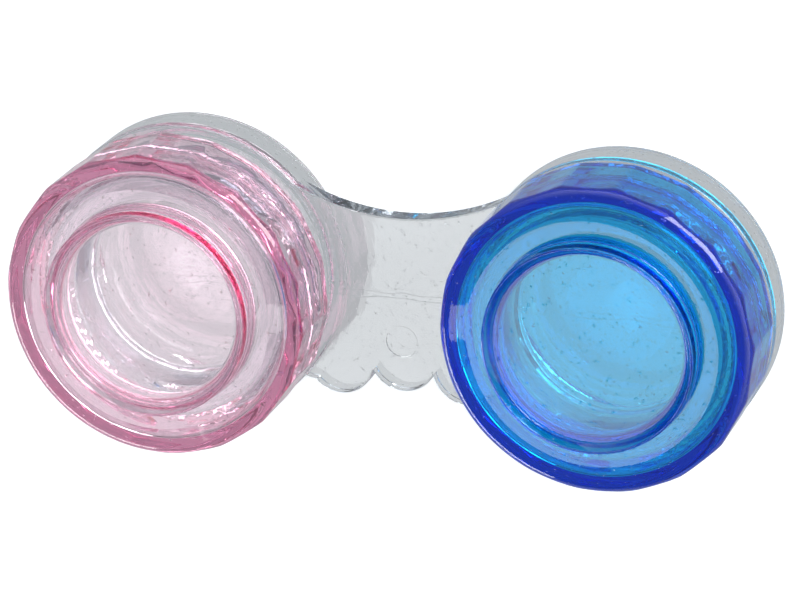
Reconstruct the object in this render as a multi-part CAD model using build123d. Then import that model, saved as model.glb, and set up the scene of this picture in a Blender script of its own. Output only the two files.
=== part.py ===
from build123d import *
import math
import os

# A screw-top contact lens case lying on its back. Two round wells stand side by side along X, joined
# by a flat web. +Z is the axis of both wells and both caps, +Y is the web's concave side and -Y its
# scalloped side. The origin is on the table, under the middle of the web. Lengths are millimetres.

# Layout
TOUCHING = 0.001             # points closer than this are on the same curve
WELL_SPACING = 41.0          # centre of one well to centre of the other
FOOT_RADIUS = 14.25          # outside of each round foot and of the flange on it
FOOT_WALL = 1.2
FOOT_EDGE = 0.5              # chamfer on the foot's lower edge
PLATE_BOTTOM = 2.7           # the plate is the web and both flanges, one flat sheet
PLATE_TOP = 4.6

# Wells
WELL_FLOOR = 1.7             # lowest point of the bowl
FLOOR_THICKNESS = 1.2
BOWL_EDGE_RADIUS = 9.0
BOWL_EDGE_HEIGHT = 5.2
MOUTH_RADIUS = 9.75
MOUTH_HEIGHT = 11.5
NECK_RADIUS = 11.35
NECK_ROUNDING = 0.3

# Web outline
WAIST = 7.1                  # from the centre line to the nearest point of the concave edge
WAIST_ARC_RADIUS = 21.3
WAIST_CORNER = 1.6           # rounding where the concave edge meets a flange
LOBE_CUSP = (2.9, -7.9)      # between the middle lobe and a side lobe
END_CUSP = (8.5, -9.35)      # outer end of a side lobe
LOBE_DEPTH = 1.8             # lobe's depth below the line between its cusps
LOBE_ROOT = (10.2, -8.95)    # inside the flange, where the web's lower corner ends
LOBE_CORNER = 0.3            # rounding where a side lobe meets a flange
EJECTOR_MARK_RADIUS = 1.5
EJECTOR_MARK_Y = -4.8
EJECTOR_MARK_DEPTH = 0.08

# Screw thread: right-handed, with a ridge for each start on the neck and on the cap
THREAD_LEAD = 6.0
THREAD_STARTS = 3
RIDGE_RISE = 2.5             # height that one ridge climbs
RIDGE_HEIGHT = 1.0
RIDGE_ROOT_WIDTH = 1.2
RIDGE_CREST_WIDTH = 0.6
RIDGE_OVERLAP = 0.35         # part of the ridge buried in its wall
NECK_THREAD_START = 7.4      # height at which the neck's ridges start

# Caps, with the cap screwed right down
CAP_FACETS = 18
CAP_CORNER_RADIUS = 14.4     # to the corners between the grip facets
CAP_BOTTOM = 5.1
CAP_EDGE = 0.25
CAP_BORE = 12.75             # inside of the skirt
CAP_CEILING = 11.6           # inside of the cap, just above the neck
SHOULDER = (14.4, 11.35)     # where the facets turn into the rounded shoulder
SHOULDER_MIDDLE = (13.98, 12.37)
CROWN = (13.22, 12.78)       # where the shoulder meets the sloping top
RIM_EDGE = (11.47, 13.1)     # outer edge of the flat annulus round the window
ANNULUS_INSIDE = 13.0        # its height beside the window
WINDOW_RADIUS = 9.6
WINDOW_FIT = 0.05            # running clearance round the window
WINDOW_TOP = 13.87
WINDOW_THICKNESS = 1.15
CREST_HEIGHT = 14.75
CREST_RADIUS = 9.4
CREST_EDGE = 0.2
PANE_RADIUS = 8.88
LIP_INSIDE = 8.7
LIP_BOTTOM = 10.3
LIP_CHAMFER = 0.3

# Where each cap stands: the angle of its facets when screwed down, and how far it is backed off
CAPS = {
    "pink": {"side": -1, "facet_angle": 14.0, "backed_off": 100.0},
    "blue": {"side": 1, "facet_angle": 2.0, "backed_off": 0.0},
}


def turned(*edges):
    """A solid of revolution about Z from a closed outline in the XZ plane."""
    return revolve(make_face(edges), Axis.Z)


def chain(*points):
    """Straight edges from each (radius, height) to the next."""
    spots = [Vector(radius, 0, height) for radius, height in points]
    return [Line(start, end) for start, end in zip(spots, spots[1:])]


def arc(start, middle, end):
    """An arc through three (radius, height) points."""
    return ThreePointArc(*[Vector(radius, 0, height) for radius, height in (start, middle, end)])


def bowl_sphere():
    """Radius of the sphere that the bowl of a well is cut from."""
    rise = BOWL_EDGE_HEIGHT - WELL_FLOOR
    return (BOWL_EDGE_RADIUS ** 2 + rise ** 2) / (2 * rise)


def bowl_height(radius, drop=0.0):
    """Height of the bowl's surface at a radius, or of the surface a given distance below it."""
    sphere = bowl_sphere()
    return WELL_FLOOR + sphere - math.sqrt((sphere + drop) ** 2 - radius ** 2)


def thread_ridges(wall_radius, outward, start_height, phase):
    """Helical ridges on a wall, one for each start. outward is 1 on the neck and -1 in the cap."""
    root = wall_radius - outward * RIDGE_OVERLAP
    crest = wall_radius + outward * RIDGE_HEIGHT
    slope = (RIDGE_ROOT_WIDTH - RIDGE_CREST_WIDTH) / RIDGE_HEIGHT
    root_width = RIDGE_ROOT_WIDTH + slope * RIDGE_OVERLAP
    path = Helix(THREAD_LEAD, RIDGE_RISE, wall_radius)
    outline = chain(
        (root, -root_width / 2),
        (crest, -RIDGE_CREST_WIDTH / 2),
        (crest, RIDGE_CREST_WIDTH / 2),
        (root, root_width / 2),
        (root, -root_width / 2),
    )
    ridge = sweep(make_face(outline), path=path, is_frenet=True)
    step = 360 / THREAD_STARTS
    return [Pos(0, 0, start_height) * Rot(0, 0, phase + step * i) * ridge for i in range(THREAD_STARTS)]


def cup(phase):
    """One well with its threaded neck, flange and round foot."""
    foot_inside = FOOT_RADIUS - FOOT_WALL
    sphere = bowl_sphere()
    underside_edge = math.sqrt((sphere + FLOOR_THICKNESS) ** 2 - (WELL_FLOOR + sphere - PLATE_BOTTOM) ** 2)
    floor_bottom = WELL_FLOOR - FLOOR_THICKNESS
    half = BOWL_EDGE_RADIUS / 2
    outline = [
        arc((0, floor_bottom), (underside_edge / 2, bowl_height(underside_edge / 2, FLOOR_THICKNESS)),
            (underside_edge, PLATE_BOTTOM)),
        *chain((underside_edge, PLATE_BOTTOM), (foot_inside, PLATE_BOTTOM), (foot_inside, 0),
               (FOOT_RADIUS - FOOT_EDGE, 0), (FOOT_RADIUS, FOOT_EDGE), (FOOT_RADIUS, PLATE_TOP),
               (NECK_RADIUS, PLATE_TOP), (NECK_RADIUS, MOUTH_HEIGHT - NECK_ROUNDING),
               (NECK_RADIUS - NECK_ROUNDING, MOUTH_HEIGHT), (MOUTH_RADIUS, MOUTH_HEIGHT),
               (BOWL_EDGE_RADIUS, BOWL_EDGE_HEIGHT)),
        arc((BOWL_EDGE_RADIUS, BOWL_EDGE_HEIGHT), (half, bowl_height(half)), (0, WELL_FLOOR)),
        *chain((0, WELL_FLOOR), (0, floor_bottom)),
    ]
    return turned(*outline) + thread_ridges(NECK_RADIUS, 1, NECK_THREAD_START, phase)


def lobe(start, end):
    """One scallop of the web's lower edge, an arc below the line between two cusps."""
    first = Vector(*start)
    last = Vector(*end)
    along = (last - first).normalized()
    lowest = (first + last) * 0.5 + Vector(along.Y, -along.X) * LOBE_DEPTH
    return ThreePointArc(first, lowest, last)


def web_outline():
    """The web between the flanges: a concave upper edge and three scallops below."""
    end_x, end_y = LOBE_ROOT
    cusp_x, cusp_y = LOBE_CUSP
    tip_x, tip_y = END_CUSP
    waist_rise = WAIST_ARC_RADIUS - math.sqrt(WAIST_ARC_RADIUS ** 2 - end_x ** 2)
    top_y = WAIST + waist_rise
    edges = [
        ThreePointArc((-end_x, top_y), (0, WAIST), (end_x, top_y)),
        Line((end_x, top_y), (end_x, end_y)),
        Line((end_x, end_y), (tip_x, tip_y)),
        lobe((cusp_x, cusp_y), (tip_x, tip_y)),
        lobe((-cusp_x, cusp_y), (cusp_x, cusp_y)),
        lobe((-tip_x, tip_y), (-cusp_x, cusp_y)),
        Line((-tip_x, tip_y), (-end_x, end_y)),
        Line((-end_x, end_y), (-end_x, top_y)),
    ]
    return make_face(edges)


def on_flange(corner):
    """Whether a corner of the plate's outline lies on the round edge of a flange."""
    middle = Vector(math.copysign(WELL_SPACING / 2, corner.X), 0, 0)
    return math.isclose((Vector(*corner) - middle).length, FOOT_RADIUS, abs_tol=TOUCHING)


def rounded_joints(outline, side, radius):
    """The outline with the corners between web and flanges rounded, at +Y (side 1) or -Y (side -1)."""
    return fillet(outline.vertices().filter_by(lambda corner: on_flange(corner) and corner.Y * side > 0), radius)


def plate():
    """The flat plate: the web and both flanges in one outline, and the ejector mark on the web."""
    outline = web_outline()
    for cap in CAPS.values():
        outline += Pos(cap["side"] * WELL_SPACING / 2, 0, 0) * Circle(FOOT_RADIUS)
    outline = rounded_joints(outline, 1, WAIST_CORNER)
    outline = rounded_joints(outline, -1, LOBE_CORNER)
    sheet = extrude(Pos(0, 0, PLATE_BOTTOM) * outline, PLATE_TOP - PLATE_BOTTOM)
    mark = Pos(0, EJECTOR_MARK_Y, PLATE_TOP) * Cylinder(EJECTOR_MARK_RADIUS, 2 * EJECTOR_MARK_DEPTH)
    return sheet - mark


def base_tray():
    """The clear moulding: two wells on round feet, joined by the web."""
    tray = plate()
    for cap in CAPS.values():
        well_x = cap["side"] * WELL_SPACING / 2
        tray += Pos(well_x, 0, 0) * cup(cap["facet_angle"])
    return tray


def cap_collar():
    """The cap's outer ring: faceted grip, rounded shoulder, flat annulus and internal thread."""
    shell = turned(
        *chain((CAP_BORE, CAP_CEILING), (CAP_BORE, CAP_BOTTOM + CAP_EDGE), (CAP_BORE + CAP_EDGE, CAP_BOTTOM),
               (CAP_CORNER_RADIUS - CAP_EDGE, CAP_BOTTOM), (CAP_CORNER_RADIUS, CAP_BOTTOM + CAP_EDGE), SHOULDER),
        arc(SHOULDER, SHOULDER_MIDDLE, CROWN),
        *chain(CROWN, RIM_EDGE, (WINDOW_RADIUS + WINDOW_FIT, ANNULUS_INSIDE),
               (WINDOW_RADIUS + WINDOW_FIT, CAP_CEILING), (CAP_BORE, CAP_CEILING)),
    )
    grip = extrude(RegularPolygon(CAP_CORNER_RADIUS, CAP_FACETS), CREST_HEIGHT)
    lane_middle = THREAD_LEAD / THREAD_STARTS / 2
    return (shell & grip) + thread_ridges(CAP_BORE, -1, NECK_THREAD_START - lane_middle, 0)


def cap_window():
    """The cap's round window: a clear pane inside a raised rim, with the sealing lip below."""
    pane_bottom = WINDOW_TOP - WINDOW_THICKNESS
    return turned(
        *chain((0, pane_bottom), (LIP_INSIDE, pane_bottom), (LIP_INSIDE, LIP_BOTTOM),
               (WINDOW_RADIUS - LIP_CHAMFER, LIP_BOTTOM), (WINDOW_RADIUS, LIP_BOTTOM + LIP_CHAMFER),
               (WINDOW_RADIUS, CREST_HEIGHT - CREST_EDGE), (CREST_RADIUS, CREST_HEIGHT),
               (PANE_RADIUS, WINDOW_TOP), (0, WINDOW_TOP), (0, pane_bottom)),
    )


def place_cap(solid, cap):
    """Stand a cap piece on its own well, turned and lifted along the thread as far as it is backed off."""
    turn = cap["facet_angle"] + cap["backed_off"]
    lift = THREAD_LEAD * cap["backed_off"] / 360
    return Pos(cap["side"] * WELL_SPACING / 2, 0, lift) * Rot(0, 0, turn) * solid


def main():
    os.makedirs("parts", exist_ok=True)
    nodes = {"base_tray": base_tray()}
    collar = cap_collar()
    window = cap_window()
    for colour, cap in CAPS.items():
        nodes[f"{colour}_cap_collar"] = place_cap(collar, cap)
        nodes[f"{colour}_cap_window"] = place_cap(window, cap)
    for name, solid in nodes.items():
        export_step(solid, f"parts/{name}.step")
        print(name, f"{solid.volume:.1f} mm3", len(solid.solids()), "solid(s)")


main()
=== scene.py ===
import math

import bmesh
import bpy
import numpy as np
from mathutils import Matrix, Quaternion, Vector


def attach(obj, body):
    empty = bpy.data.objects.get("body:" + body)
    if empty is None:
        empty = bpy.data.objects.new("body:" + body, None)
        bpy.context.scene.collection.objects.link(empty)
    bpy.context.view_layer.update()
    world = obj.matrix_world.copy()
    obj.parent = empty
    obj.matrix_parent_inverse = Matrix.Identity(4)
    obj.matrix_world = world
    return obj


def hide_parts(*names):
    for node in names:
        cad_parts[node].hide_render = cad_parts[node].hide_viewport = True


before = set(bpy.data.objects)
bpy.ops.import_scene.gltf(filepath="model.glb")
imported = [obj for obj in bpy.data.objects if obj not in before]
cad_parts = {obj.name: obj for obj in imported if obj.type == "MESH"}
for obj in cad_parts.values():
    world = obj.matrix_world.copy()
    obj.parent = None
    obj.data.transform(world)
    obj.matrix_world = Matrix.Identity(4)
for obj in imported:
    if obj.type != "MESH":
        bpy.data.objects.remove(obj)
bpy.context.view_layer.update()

# The looks of a screw-top contact lens case: one clear base moulding and two tinted screw caps.
# The dimensions below are the part's own, in millimetres, and MM turns them into the frame's metres.
MM = 0.001

# Base
WELL_SPACING = 41.0
FOOT_RADIUS = 14.25
FOOT_INSIDE = 13.05
PLATE_BOTTOM = 2.7
PLATE_TOP = 4.6
WELL_FLOOR = 1.7
FLOOR_THICKNESS = 1.2
BOWL_EDGE = (9.0, 5.2)
BOWL_REACH = 8.0             # radius where the bowl ends and its rounding begins
UNDERSIDE_REACH = 8.6        # radius of the bowl's underside inside the foot
MOUTH = (9.75, 11.5)
MOUTH_ROUNDING = 0.35
BOWL_ROUNDING = 0.9
FOOT_ROUNDING = 0.5
NECK_RADIUS = 11.35
SUNK = 0.5                   # how far the well's own walls reach into the plate
STEP = 0.2                   # size of the steps between them, inside the plate's thickness
FLUSH = 0.01                 # keeps the foot's wall just inside the plate's

# Plate outline
WAIST = 7.1
WAIST_ARC_RADIUS = 21.3
WAIST_CORNER = 1.6
LOBE_CUSP = (2.9, -7.9)
END_CUSP = (8.5, -9.35)
LOBE_DEPTH = 1.8
END_EDGE = (1.7, 0.4)        # direction of the short edge from the last cusp to the flange
PLATE_EDGE = 0.22            # rounding of the plate's upper edge
PLATE_CHAMFER = 0.1          # on its lower edge
EJECTOR_MARK = (0.0, -4.8)
EJECTOR_RADIUS = 1.5
EJECTOR_DEPTH = 0.1

# Thread
LEAD = 6.0
STARTS = 3
RIDGE_RISE = 2.5
RIDGE_HEIGHT = 1.0
RIDGE_ROOT = 1.2
RIDGE_CREST = 0.6
NECK_THREAD_START = 7.4
RUN_OUT = 9.0                # degrees over which a ridge fades at each end
LANE = LEAD / STARTS
ON_WALL = 0.01               # vertices this near a wall's radius belong to it

# Caps
FACETS = 18
CORNER_RADIUS = 14.4
CAP_BOTTOM = 5.1
BORE = 12.75
CEILING = 11.6
CEILING_ROUNDING = 0.5
WINDOW_RADIUS = 9.62
WINDOW_TOP = 13.87
WINDOW_BOTTOM = 12.72
PANE_RADIUS = 8.88
CREST = 14.75
CREST_RADIUS = 9.4
CREST_SLOPE = 0.15           # how much lower the ring is at its outer edge than at its crest
CREST_ROUNDING = 0.12
RING_ROUNDING = 0.1
ANNULUS_INSIDE = 13.0
ANNULUS_FILLET = 0.12
RIM_EDGE = (11.47, 13.1)
RIM_ROUNDING = 0.06
LIP_INSIDE = 8.7
LIP_BOTTOM = 10.3
LIP_ROUNDING = 0.3
PANE_FILLET = 0.4
SHOULDER_CORNER = 12.56      # height where the sloping top would meet the facets' corners
SHOULDER_ROUNDING = 1.45
FACET_SOFTNESS = 0.03        # rounding of the edges between and above the facets
# the caps as they were photographed: the pink one is backed off by part of a turn; angles in degrees
PINK = {"side": -1, "facet_angle": 14.0, "backed_off": 100.0}
BLUE = {"side": 1, "facet_angle": 2.0, "backed_off": 0.0}
EDGE = 0.25                  # rounding of the other moulded edges

# Mesh density
COLUMNS = 288                # vertices round each turned surface
ARC_STEP = 9.0               # degrees between the points of a rounding
SUPPORT = 0.06               # distance of a supporting row from the end of a straight wall
BOWL_STEPS = 14
FLAT_ROWS = 1.5              # row spacing of the panes
GRIP_ROWS = 1.0
FOOT_ROWS = 0.6
NECK_ROWS = 0.11             # row spacing of the walls that carry thread ridges
BORE_ROWS = 0.09
LOBE_STEPS = 24
FLANGE_STEPS = 120
CORNER_STEPS = 12
WAIST_STEPS = 24
EJECTOR_SIDES = 96
TRAY_SHARP = 35.0            # degrees between faces above which an edge stays sharp
CAP_SHARP = 60.0
FLAT_WEIGHT = 70             # how strongly large faces hold the shading flat

# Plastics: the absorption of red, green and blue per millimetre, and the marks in the surface
CLEAR_LOSS = (0.035, 0.03, 0.025)
PINK_LOSS = (0.002, 0.11, 0.06)
BLUE_LOSS = (2.4, 0.35, 0.03)
PLASTIC_IOR = 1.57
TRAY_STREAKS = 0.012         # depth of the streaks
CAP_STREAKS = 0.005
STREAK_SCALES = (900, 2.5, 500)    # outwards per metre, round per radian, upwards per metre
STREAK_DETAIL = 3
FLOW_SCALE = 180             # slow unevenness of the moulded surface, per metre
FLOW_DETAIL = 2
FLOW_DEPTH = 0.025
SPECK_SCALE = 2500           # grains of dust, per metre
SPECK_DETAIL = 1
SPECK_WINDOW = (0.7, 0.78)
SPECK_DEPTH = 0.03
HAZE = 0.05                  # greatest roughness
HAZE_WINDOW = (0.45, 0.75)
HAZE_DETAIL = 5
WELD_SCALE = 250
WELD_DETAIL = 3
WELD_WAVER = 1.2
WELD_WIDTH = 0.06
WELD_DEPTH = 0.02

# Camera
CAMERA_AT = Vector((117.25, 131.86, 337.79))
CAMERA_AIM = Vector((2.95, 2.64, 13.1))
CAMERA_ROLL = -136.71
LENS = 187.04
NEAREST = 0.01
INNER_REFLECTIONS = 20       # light is reflected many times in clear plastic before it leaves

# Studio, in metres. The floor is a lit table: it burns out to white where it is seen directly, and is a
# pale grey through the plastic.
FLOOR_HALF = 3.0
FLOOR_ROUGHNESS = 0.9
FLOOR_SEEN = (0.9, 0.9, 0.9, 1)
FLOOR_THROUGH = (0.125, 0.13, 0.135, 1)
GLOW_SEEN = 0.6
GLOW_THROUGH = 0.48
GLOW_COLOUR = (0.92, 0.97, 1, 1)
BRIGHT_SIDE = (0.66, 0.75, 0)      # direction of the bright wall, which lights the grips
WALL_TURN = (-0.4, 0.5)            # where round the room the dark wall gives way to the bright one
LIT_WALL = 2.0
DARK_WALL = 0.2
CEILING_TURN = (0.25, 0.7)         # how high the walls give way to the ceiling
CEILING_LIGHT = 0.3
DAYLIGHT = (0.96, 0.98, 1, 1)
# name, azimuth and elevation in degrees, distance, width, height, radiance
SOFTBOXES = [
    ("near_softbox", 43, 20, 0.6, 0.4, 0.3, 8.0),
    ("far_softbox", 224, 8, 0.6, 0.5, 0.16, 6.0),
    ("overhead_softbox", 228, 62, 0.7, 0.36, 0.36, 2.6),
]


def along_turn(turn):
    """Points from 0 to 1 along a rounding that turns through an angle."""
    steps = max(2, math.ceil(math.degrees(abs(turn)) / ARC_STEP))
    return [i / steps for i in range(steps + 1)]


def rounding(before, corner, after, radius):
    """Points of the arc that rounds a corner of an outline."""
    corner = Vector(corner)
    into = (corner - Vector(before)).normalized()
    out = (Vector(after) - corner).normalized()
    turn = into.angle_signed(out)
    reach = radius * math.tan(abs(turn) / 2)
    centre = corner - into * reach + Vector((into.y, -into.x)) * radius * math.copysign(1, turn)
    start = corner - into * reach - centre
    points = []
    for share in along_turn(turn):
        swing = Matrix.Rotation(-turn * share, 2)
        points.append(centre + swing @ start)
    return points


def rounded(corners, steps):
    """An outline through (radius, height, rounding) corners, with rows along its straight walls.

    steps gives the longest row spacing of a wall by the index of the corner that the wall starts from."""
    pieces = [[Vector(corners[0][:2])]]
    for before, corner, after in zip(corners, corners[1:], corners[2:]):
        if corner[2]:
            pieces.append(rounding(before[:2], corner[:2], after[:2], corner[2]))
        else:
            pieces.append([Vector(corner[:2])])
    pieces.append([Vector(corners[-1][:2])])
    points = []
    for index, (piece, following) in enumerate(zip(pieces, pieces[1:])):
        points += piece
        start, end = piece[-1], following[0]
        length = (end - start).length
        if length < 3 * SUPPORT:
            continue
        count = math.ceil(length / steps.get(index, length))
        shares = {SUPPORT / length, 1 - SUPPORT / length}
        shares |= {i / count for i in range(1, count)}
        points += [start.lerp(end, share) for share in sorted(shares)]
    return points + pieces[-1]


def turned(name, outline, shape):
    """A closed mesh turned about Z from an outline that starts and ends on the axis.

    shape gives the final radii from the outline's radii, their heights and the angles in degrees."""
    radius = np.array([point[0] for point in outline[1:-1]])
    height = np.array([point[1] for point in outline[1:-1]])
    angle = np.arange(COLUMNS) * 2 * math.pi / COLUMNS
    radii = np.repeat(radius[:, None], COLUMNS, 1)
    radii = shape(radii, height[:, None], np.degrees(angle)[None, :])
    heights = np.repeat(height[:, None], COLUMNS, 1)
    rings = np.stack([radii * np.cos(angle), radii * np.sin(angle), heights], -1).reshape(-1, 3)
    poles = [(0, 0, outline[0][1]), (0, 0, outline[-1][1])]
    rows = len(radius)
    first, last = rows * COLUMNS, rows * COLUMNS + 1
    faces = []
    for column in range(COLUMNS):
        beside = (column + 1) % COLUMNS
        faces.append((first, beside, column))
        faces.append((last, (rows - 1) * COLUMNS + column, (rows - 1) * COLUMNS + beside))
        for row in range(rows - 1):
            here, below = row * COLUMNS, (row + 1) * COLUMNS
            faces.append((here + column, here + beside, below + beside, below + column))
    mesh = bpy.data.meshes.new(name)
    mesh.from_pydata(np.vstack([rings, poles]).tolist(), [], faces)
    return mesh


def ridges(height, angle, start_height, phase):
    """Height of the thread's ridges above their wall at each height and angle."""
    result = 0
    for start in range(STARTS):
        turn = (angle - phase - 360 / STARTS * start) % 360
        middle = start_height + LEAD * turn / 360
        last = RIDGE_RISE / LEAD * 360
        ends = np.clip(turn / RUN_OUT, 0, 1) * np.clip((last - turn) / RUN_OUT, 0, 1)
        flank = (RIDGE_ROOT / 2 - np.abs(height - middle)) / (RIDGE_ROOT / 2 - RIDGE_CREST / 2)
        flank = np.clip(flank, 0, 1)
        result = np.maximum(result, RIDGE_HEIGHT * ends * flank * flank * (3 - 2 * flank))
    return result


def bowl(edge, drop):
    """Points of a well's spherical bowl, or of the surface a distance below it, from the axis outwards."""
    radius, height = BOWL_EDGE
    rise = height - WELL_FLOOR
    sphere = (radius ** 2 + rise ** 2) / (2 * rise)
    centre = WELL_FLOOR + sphere
    reach = math.asin(edge / (sphere + drop))
    swings = [reach * i / BOWL_STEPS for i in range(BOWL_STEPS + 1)]
    return [Vector(((sphere + drop) * math.sin(a), centre - (sphere + drop) * math.cos(a))) for a in swings]


def well(phase):
    """A well with its neck, thread, floor and foot, sunk a little into the plate."""
    underside = bowl(UNDERSIDE_REACH, FLOOR_THICKNESS)
    deck = PLATE_BOTTOM + SUNK
    wall = FOOT_RADIUS - FLUSH
    neck_root = NECK_RADIUS - SUNK
    # each point is a radius, a height and a rounding
    below = rounded([
        (*underside[-1], 0),
        (underside[-1][0] + STEP, deck, 0),
        (FOOT_INSIDE, deck, 0),
        (FOOT_INSIDE, 0, EDGE),
        (wall, 0, FOOT_ROUNDING),
        (wall, deck, 0),
        (neck_root, deck, 0),
        (neck_root, deck + STEP, 0),
    ], {3: FOOT_ROWS})
    above = rounded([
        (neck_root, deck + STEP, 0),
        (NECK_RADIUS, deck + 2 * STEP, 0),
        (NECK_RADIUS, MOUTH[1], MOUTH_ROUNDING),
        (*MOUTH, MOUTH_ROUNDING),
        (*BOWL_EDGE, BOWL_ROUNDING),
        (*bowl(BOWL_REACH, 0)[-1], 0),
    ], {1: NECK_ROWS})
    inside = bowl(BOWL_REACH, 0)[::-1]
    outline = underside[:-1] + below[:-1] + above[:-1] + inside

    def threaded(radii, height, angle):
        """Adds the thread's ridges to the neck."""
        neck = np.abs(radii - NECK_RADIUS) < ON_WALL
        return radii + neck * ridges(height, angle, NECK_THREAD_START, phase)

    return turned("well", outline, threaded)


def cap_mesh(name, turn, lift):
    """A whole cap as one moulding: faceted grip, shoulder, flat annulus, raised window ring and pane."""
    # each point is a radius, a height and a rounding
    outline = rounded([
        (0, WINDOW_TOP, 0),
        (PANE_RADIUS, WINDOW_TOP, EDGE),
        (CREST_RADIUS, CREST, CREST_ROUNDING),
        (WINDOW_RADIUS, CREST - CREST_SLOPE, RING_ROUNDING),
        (WINDOW_RADIUS, ANNULUS_INSIDE, ANNULUS_FILLET),
        (*RIM_EDGE, RIM_ROUNDING),
        (CORNER_RADIUS, SHOULDER_CORNER, SHOULDER_ROUNDING),
        (CORNER_RADIUS, CAP_BOTTOM, EDGE),
        (BORE, CAP_BOTTOM, EDGE),
        (BORE, CEILING, CEILING_ROUNDING),
        (WINDOW_RADIUS, CEILING, LIP_ROUNDING),
        (WINDOW_RADIUS, LIP_BOTTOM, LIP_ROUNDING),
        (LIP_INSIDE, LIP_BOTTOM, EDGE),
        (LIP_INSIDE, WINDOW_BOTTOM, PANE_FILLET),
        (0, WINDOW_BOTTOM, 0),
    ], {0: FLAT_ROWS, 6: GRIP_ROWS, 8: BORE_ROWS, 13: FLAT_ROWS})

    def shaped(radii, height, angle):
        """Cuts the grip's facets outside and adds the thread's ridges inside."""
        bore = (np.abs(radii - BORE) < ON_WALL) & (height < CEILING - CEILING_ROUNDING)
        radii = np.where(radii > (BORE + CORNER_RADIUS) / 2, faceted(radii, angle - turn), radii)
        return radii - bore * ridges(height, angle, NECK_THREAD_START - LANE / 2, turn)

    mesh = turned(name, outline[::-1], shaped)
    mesh.transform(Matrix.Translation((0, 0, lift)))
    return mesh


def faceted(radii, angle):
    """Radii cut back to the flat facets of the grip, with the edges a little soft."""
    facet = 360 / FACETS
    apothem = CORNER_RADIUS * math.cos(math.pi / FACETS)
    flat = apothem / np.cos(np.radians(angle % facet - facet / 2))
    return -FACET_SOFTNESS * np.logaddexp(-radii / FACET_SOFTNESS, -flat / FACET_SOFTNESS)


def arc_between(start, end, depth):
    """Points of an arc from start to end that bulges by depth to the right of its direction."""
    start, end = Vector(start), Vector(end)
    chord = end - start
    half = chord.length / 2
    radius = (half * half + depth * depth) / (2 * depth)
    side = Vector((chord.y, -chord.x)).normalized()
    centre = (start + end) / 2 - side * (radius - depth)
    sweep = 2 * math.asin(half / radius)
    swings = [Matrix.Rotation(-sweep * i / LOBE_STEPS, 2).inverted() for i in range(LOBE_STEPS + 1)]
    return [centre + swing @ (start - centre) for swing in swings]


def half_outline():
    """The plate's outline for x > 0, from the bottom of the middle lobe anticlockwise to the waist."""
    middle = Vector((WELL_SPACING / 2, 0))
    points = arc_between((-LOBE_CUSP[0], LOBE_CUSP[1]), LOBE_CUSP, LOBE_DEPTH)[LOBE_STEPS // 2:]
    points += arc_between(LOBE_CUSP, END_CUSP, LOBE_DEPTH)[1:]
    # from the end cusp along the short edge to the flange
    reach = Vector(END_EDGE).normalized()
    cusp = Vector(END_CUSP)
    offset = cusp - middle
    inwards = -offset.dot(reach)
    along = inwards - math.sqrt(inwards ** 2 - offset.length_squared + FOOT_RADIUS ** 2)
    touch = cusp + reach * along
    # the concave edge is part of a circle above the web; the corner circle touches it and the flange
    waist_centre = Vector((0, WAIST + WAIST_ARC_RADIUS))
    corner = meeting(middle, FOOT_RADIUS + WAIST_CORNER, waist_centre, WAIST_ARC_RADIUS - WAIST_CORNER)
    on_flange = middle + (corner - middle).normalized() * FOOT_RADIUS
    on_waist = waist_centre + (corner - waist_centre).normalized() * WAIST_ARC_RADIUS
    points += swept(middle, touch, on_flange, 1, FLANGE_STEPS)
    points += swept(corner, on_flange, on_waist, -1, CORNER_STEPS)[1:]
    points += swept(waist_centre, on_waist, Vector((0, WAIST)), -1, WAIST_STEPS)[1:]
    return points


def meeting(first, first_radius, second, second_radius):
    """The lower of the two points where two circles cross, which is between the web and the flange."""
    gap = second - first
    along = (gap.length_squared + first_radius ** 2 - second_radius ** 2) / (2 * gap.length)
    across = math.sqrt(first_radius ** 2 - along ** 2)
    direction = gap.normalized()
    foot = first + direction * along
    options = [foot + Vector((direction.y, -direction.x)) * across * side for side in (-1, 1)]
    return min(options, key=lambda point: point.y)


def swept(centre, start, end, direction, steps):
    """Points of an arc round a centre from start to end, anticlockwise (1) or clockwise (-1)."""
    first = math.atan2(start.y - centre.y, start.x - centre.x)
    last = math.atan2(end.y - centre.y, end.x - centre.x)
    sweep = (last - first) * direction % (2 * math.pi) * direction
    radius = (start - centre).length
    angles = [first + sweep * i / steps for i in range(steps + 1)]
    return [centre + Vector((math.cos(a), math.sin(a))) * radius for a in angles]


def inset(points, distance):
    """A closed anticlockwise outline moved inwards."""
    moved = []
    for before, point, after in zip(points[-1:] + points[:-1], points, points[1:] + points[:1]):
        edge = (point - before).normalized() + (after - point).normalized()
        normal = Vector((-edge.y, edge.x)).normalized()
        moved.append(point + normal * distance)
    return moved


def plate():
    """The flat plate, with its upper edge rounded."""
    right = half_outline()
    outline = right + [Vector((-point.x, point.y)) for point in right[-2:0:-1]]
    levels = [
        (PLATE_BOTTOM, PLATE_CHAMFER),
        (PLATE_BOTTOM + PLATE_CHAMFER, 0),
        (PLATE_TOP - PLATE_EDGE - SUPPORT, 0),
    ]
    for share in along_turn(math.pi / 2):
        swing = share * math.pi / 2
        levels.append((PLATE_TOP - PLATE_EDGE * (1 - math.sin(swing)), PLATE_EDGE * (1 - math.cos(swing))))
    points = []
    for height, distance in levels:
        points += [(*point, height) for point in inset(outline, distance)]
    count = len(outline)
    top = count * (len(levels) - 1)
    faces = [tuple(range(count - 1, -1, -1)), tuple(range(top, top + count))]
    for level in range(len(levels) - 1):
        for i in range(count):
            j = (i + 1) % count
            low, high = level * count, (level + 1) * count
            faces.append((low + i, low + j, high + j, high + i))
    mesh = bpy.data.meshes.new("plate")
    mesh.from_pydata(points, [], faces)
    return mesh


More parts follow.
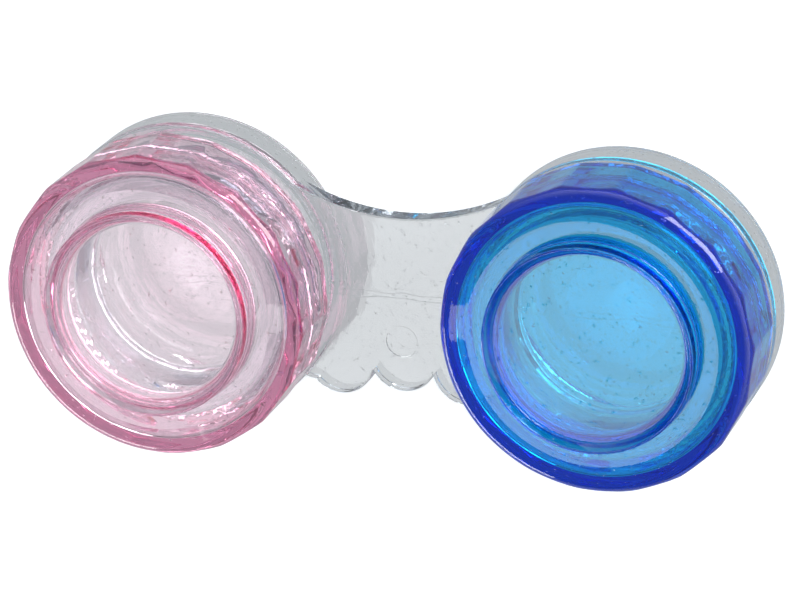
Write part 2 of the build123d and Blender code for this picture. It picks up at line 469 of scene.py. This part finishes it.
def placed(name, mesh, at=(0, 0, 0)):
    """An object from a mesh in millimetres, moved to its place and turned into metres."""
    mesh.transform(Matrix.Scale(MM, 4) @ Matrix.Translation(at))
    mesh.validate()
    piece = bpy.data.objects.new(name, mesh)
    bpy.context.scene.collection.objects.link(piece)
    return piece


def combined(piece, other, operation):
    """Joins another solid to the piece, or cuts it away, and removes the other object."""
    modifier = piece.modifiers.new("combine", "BOOLEAN")
    modifier.operation = operation
    modifier.solver = "MANIFOLD"
    modifier.object = other
    depsgraph = bpy.context.evaluated_depsgraph_get()
    mesh = bpy.data.meshes.new_from_object(piece.evaluated_get(depsgraph))
    piece.modifiers.clear()
    piece.data = mesh
    bpy.data.objects.remove(other)


def smooth(piece, angle):
    """Smooth shading, sharp only where faces meet at more than an angle, with flat faces kept flat."""
    for polygon in piece.data.polygons:
        polygon.use_smooth = True
    piece.data.set_sharp_from_angle(angle=math.radians(angle))
    modifier = piece.modifiers.new("even_normals", "WEIGHTED_NORMAL")
    modifier.keep_sharp = True
    modifier.weight = FLAT_WEIGHT


def base():
    """The clear moulding: the plate with both wells and the mark left by the mould's ejector pin."""
    tray = placed("clear_tray", plate())
    for cap in (PINK, BLUE):
        at = (cap["side"] * WELL_SPACING / 2, 0, 0)
        combined(tray, placed("well", well(cap["facet_angle"]), at), "UNION")
    mark = bmesh.new()
    bmesh.ops.create_cone(mark, cap_ends=True, segments=EJECTOR_SIDES, radius1=EJECTOR_RADIUS,
                          radius2=EJECTOR_RADIUS, depth=2 * EJECTOR_DEPTH)
    cutter = bpy.data.meshes.new("mark")
    mark.to_mesh(cutter)
    mark.free()
    combined(tray, placed("mark", cutter, (*EJECTOR_MARK, PLATE_TOP)), "DIFFERENCE")
    return tray


def clear_plastic(name, absorbed, streak_depth, weld_depth=0):
    """Polished clear plastic that absorbs a colour with depth, with the marks of moulding in its surface.

    absorbed is the absorption of red, green and blue per millimetre."""
    material = bpy.data.materials.new(name)
    material.use_nodes = True
    nodes, links = material.node_tree.nodes, material.node_tree.links
    shader = nodes["Principled BSDF"]
    shader.inputs["Base Color"].default_value = (1, 1, 1, 1)
    shader.inputs["Transmission Weight"].default_value = 1
    shader.inputs["IOR"].default_value = PLASTIC_IOR
    strongest = max(absorbed)
    volume = nodes.new("ShaderNodeVolumeAbsorption")
    volume.inputs["Color"].default_value = (*[1 - loss / strongest for loss in absorbed], 1)
    volume.inputs["Density"].default_value = strongest / MM
    links.new(volume.outputs["Volume"], nodes["Material Output"].inputs["Volume"])

    place = nodes.new("ShaderNodeTexCoord").outputs["Object"]
    around = round_the_well(nodes, links, place)    # these coordinates carry their own scale
    flow = noise(nodes, links, place, FLOW_SCALE, FLOW_DETAIL)
    streaks = noise(nodes, links, around, 1, STREAK_DETAIL)
    specks = noise(nodes, links, place, SPECK_SCALE, SPECK_DETAIL, SPECK_WINDOW)
    normal = bump(nodes, links, flow, FLOW_DEPTH, None)
    normal = bump(nodes, links, streaks, streak_depth, normal)
    normal = bump(nodes, links, specks, SPECK_DEPTH, normal)
    if weld_depth:
        normal = bump(nodes, links, weld_line(nodes, links, place), weld_depth, normal)
    links.new(normal, shader.inputs["Normal"])

    haze = spread(nodes, *HAZE_WINDOW, 0, HAZE)
    links.new(noise(nodes, links, around, 1, HAZE_DETAIL), haze.inputs["Value"])
    links.new(haze.outputs["Result"], shader.inputs["Roughness"])
    return material


def spread(nodes, low, high, first, last):
    """A node that maps values from low to high onto first to last."""
    node = nodes.new("ShaderNodeMapRange")
    node.inputs["From Min"].default_value = low
    node.inputs["From Max"].default_value = high
    node.inputs["To Min"].default_value = first
    node.inputs["To Max"].default_value = last
    return node


def mix(nodes, data_type):
    """The factor, two values and result of a node that mixes numbers or colours."""
    node = nodes.new("ShaderNodeMix")
    node.data_type = data_type
    first, second = [i for i in node.inputs if i.enabled][1:]
    return node.inputs[0], first, second, [o for o in node.outputs if o.enabled][0]


def sums(nodes, links, operation, first, second=None):
    """A maths node whose inputs are each a number or another node's output."""
    node = nodes.new("ShaderNodeMath")
    node.operation = operation
    for socket, value in zip(node.inputs, (first, second)):
        if isinstance(value, bpy.types.NodeSocket):
            links.new(value, socket)
        elif value is not None:
            socket.default_value = value
    return node.outputs["Value"]


def round_the_well(nodes, links, place):
    """Noise coordinates that stretch marks into arcs round the axis of whichever well is nearer."""
    parts = nodes.new("ShaderNodeSeparateXYZ")
    links.new(place, parts.inputs["Vector"])
    outwards = sums(nodes, links, "ABSOLUTE", parts.outputs["X"])
    across = sums(nodes, links, "SUBTRACT", outwards, WELL_SPACING / 2 * MM)
    along = parts.outputs["Y"]
    angle = sums(nodes, links, "ARCTAN2", along, across)
    squares = [sums(nodes, links, "MULTIPLY", value, value) for value in (across, along)]
    radius = sums(nodes, links, "SQRT", sums(nodes, links, "ADD", *squares))
    joined = nodes.new("ShaderNodeCombineXYZ")
    for socket, value, scale in zip(joined.inputs, (radius, angle, parts.outputs["Z"]), STREAK_SCALES):
        links.new(sums(nodes, links, "MULTIPLY", value, scale), socket)
    return joined.outputs["Vector"]


def noise(nodes, links, place, scale, detail, window=(0, 1)):
    """Noise, with the values inside the window spread over 0 to 1."""
    node = nodes.new("ShaderNodeTexNoise")
    node.inputs["Scale"].default_value = scale
    node.inputs["Detail"].default_value = detail
    links.new(place, node.inputs["Vector"])
    cut = spread(nodes, *window, 0, 1)
    links.new(node.outputs["Fac"], cut.inputs["Value"])
    return cut.outputs["Result"]


def weld_line(nodes, links, place):
    """A wavering hairline across the web, where the two flows of plastic met in the mould."""
    parts = nodes.new("ShaderNodeSeparateXYZ")
    links.new(place, parts.inputs["Vector"])
    wander = noise(nodes, links, place, WELD_SCALE, WELD_DETAIL)
    waver = sums(nodes, links, "MULTIPLY", wander, WELD_WAVER * MM)
    distance = sums(nodes, links, "ABSOLUTE", sums(nodes, links, "ADD", parts.outputs["Y"], waver))
    line = spread(nodes, 0, WELD_WIDTH * MM, 1, 0)
    links.new(distance, line.inputs["Value"])
    return line.outputs["Result"]


def bump(nodes, links, height, depth, normal):
    """The normal of a surface with a height in it, depth millimetres from lowest to highest."""
    node = nodes.new("ShaderNodeBump")
    node.inputs["Distance"].default_value = depth * MM
    links.new(height, node.inputs["Height"])
    if normal:
        links.new(normal, node.inputs["Normal"])
    return node.outputs["Normal"]


def show_tray(plastic):
    """The clear base."""
    tray = base()
    smooth(tray, TRAY_SHARP)
    tray.data.materials.clear()
    tray.data.materials.append(plastic)
    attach(tray, "base")
    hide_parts("base_tray")


def show_cap(colour, cap, plastic):
    """A tinted cap on its well, backed off by its angle and lifted by its thread to match."""
    lift = LEAD * cap["backed_off"] / 360
    mesh = cap_mesh(f"{colour}_cap", cap["facet_angle"] + cap["backed_off"], lift)
    piece = placed(f"{colour}_cap", mesh, (cap["side"] * WELL_SPACING / 2, 0, 0))
    smooth(piece, CAP_SHARP)
    piece.data.materials.append(plastic)
    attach(piece, f"{colour}_collar")
    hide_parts(f"{colour}_cap_collar", f"{colour}_cap_window")


def studio_floor():
    """A plain floor, brighter where it is seen directly than through the plastic."""
    size = FLOOR_HALF
    corners = [(-size, -size, 0), (size, -size, 0), (size, size, 0), (-size, size, 0)]
    mesh = bpy.data.meshes.new("floor")
    mesh.from_pydata(corners, [], [(0, 1, 2, 3)])
    floor = bpy.data.objects.new("floor", mesh)
    bpy.context.scene.collection.objects.link(floor)
    material = bpy.data.materials.new("floor")
    material.use_nodes = True
    nodes, links = material.node_tree.nodes, material.node_tree.links
    shader = nodes["Principled BSDF"]
    ray = nodes.new("ShaderNodeLightPath")
    factor, first, second, result = mix(nodes, "RGBA")
    first.default_value = FLOOR_THROUGH
    second.default_value = FLOOR_SEEN
    links.new(ray.outputs["Is Camera Ray"], factor)
    links.new(result, shader.inputs["Base Color"])
    glow = spread(nodes, 0, 1, GLOW_THROUGH, GLOW_SEEN)
    links.new(ray.outputs["Is Camera Ray"], glow.inputs["Value"])
    links.new(glow.outputs["Result"], shader.inputs["Emission Strength"])
    shader.inputs["Emission Color"].default_value = GLOW_COLOUR
    shader.inputs["Roughness"].default_value = FLOOR_ROUGHNESS
    shader.inputs["Specular IOR Level"].default_value = 0
    mesh.materials.append(material)


def softbox(name, azimuth, elevation, distance, width, height, radiance):
    """A rectangular light that faces the case from a direction."""
    swing, rise = math.radians(azimuth), math.radians(elevation)
    direction = Vector((math.cos(rise) * math.cos(swing), math.cos(rise) * math.sin(swing), math.sin(rise)))
    lamp = bpy.data.lights.new(name, "AREA")
    lamp.shape = "RECTANGLE"
    lamp.size, lamp.size_y = width, height
    lamp.energy = radiance * math.pi * width * height
    box = bpy.data.objects.new(name, lamp)
    box.location = direction * distance
    box.rotation_euler = direction.to_track_quat("Z", "Y").to_euler()
    bpy.context.scene.collection.objects.link(box)


def surroundings():
    """A pale room: a bright wall behind the camera, a dark one opposite and a dim ceiling."""
    world = bpy.data.worlds.new("studio")
    world.use_nodes = True
    nodes, links = world.node_tree.nodes, world.node_tree.links
    place = nodes.new("ShaderNodeTexCoord")
    facing = nodes.new("ShaderNodeVectorMath")
    facing.operation = "DOT_PRODUCT"
    facing.inputs[1].default_value = BRIGHT_SIDE
    links.new(place.outputs["Generated"], facing.inputs[0])
    walls = spread(nodes, *WALL_TURN, DARK_WALL, LIT_WALL)
    links.new(facing.outputs["Value"], walls.inputs["Value"])
    parts = nodes.new("ShaderNodeSeparateXYZ")
    links.new(place.outputs["Generated"], parts.inputs["Vector"])
    height = spread(nodes, *CEILING_TURN, 0, 1)
    links.new(parts.outputs["Z"], height.inputs["Value"])
    factor, first, second, result = mix(nodes, "FLOAT")
    links.new(height.outputs["Result"], factor)
    links.new(walls.outputs["Result"], first)
    second.default_value = CEILING_LIGHT
    links.new(result, nodes["Background"].inputs["Strength"])
    nodes["Background"].inputs["Color"].default_value = DAYLIGHT
    bpy.context.scene.world = world


def camera():
    """The camera, rolled as the photograph's was."""
    data = bpy.data.cameras.new("camera")
    data.lens = LENS
    data.clip_start = NEAREST
    view = bpy.data.objects.new("camera", data)
    view.location = CAMERA_AT * MM
    roll = Quaternion((0, 0, 1), math.radians(CAMERA_ROLL))
    view.rotation_euler = ((CAMERA_AIM - CAMERA_AT).to_track_quat("-Z", "Y") @ roll).to_euler()
    bpy.context.scene.collection.objects.link(view)
    bpy.context.scene.camera = view


def light_and_colour():
    """Colours without a film curve, and enough bounces for the light inside clear plastic to get out."""
    scene = bpy.context.scene
    scene.view_settings.view_transform = "Standard"
    scene.cycles.max_bounces = INNER_REFLECTIONS
    scene.cycles.glossy_bounces = INNER_REFLECTIONS
    scene.cycles.transmission_bounces = INNER_REFLECTIONS


show_tray(clear_plastic("clear_plastic", CLEAR_LOSS, TRAY_STREAKS, WELD_DEPTH))
show_cap("pink", PINK, clear_plastic("pink_plastic", PINK_LOSS, CAP_STREAKS))
show_cap("blue", BLUE, clear_plastic("blue_plastic", BLUE_LOSS, CAP_STREAKS))
studio_floor()
for light in SOFTBOXES:
    softbox(*light)
surroundings()
camera()
light_and_colour()
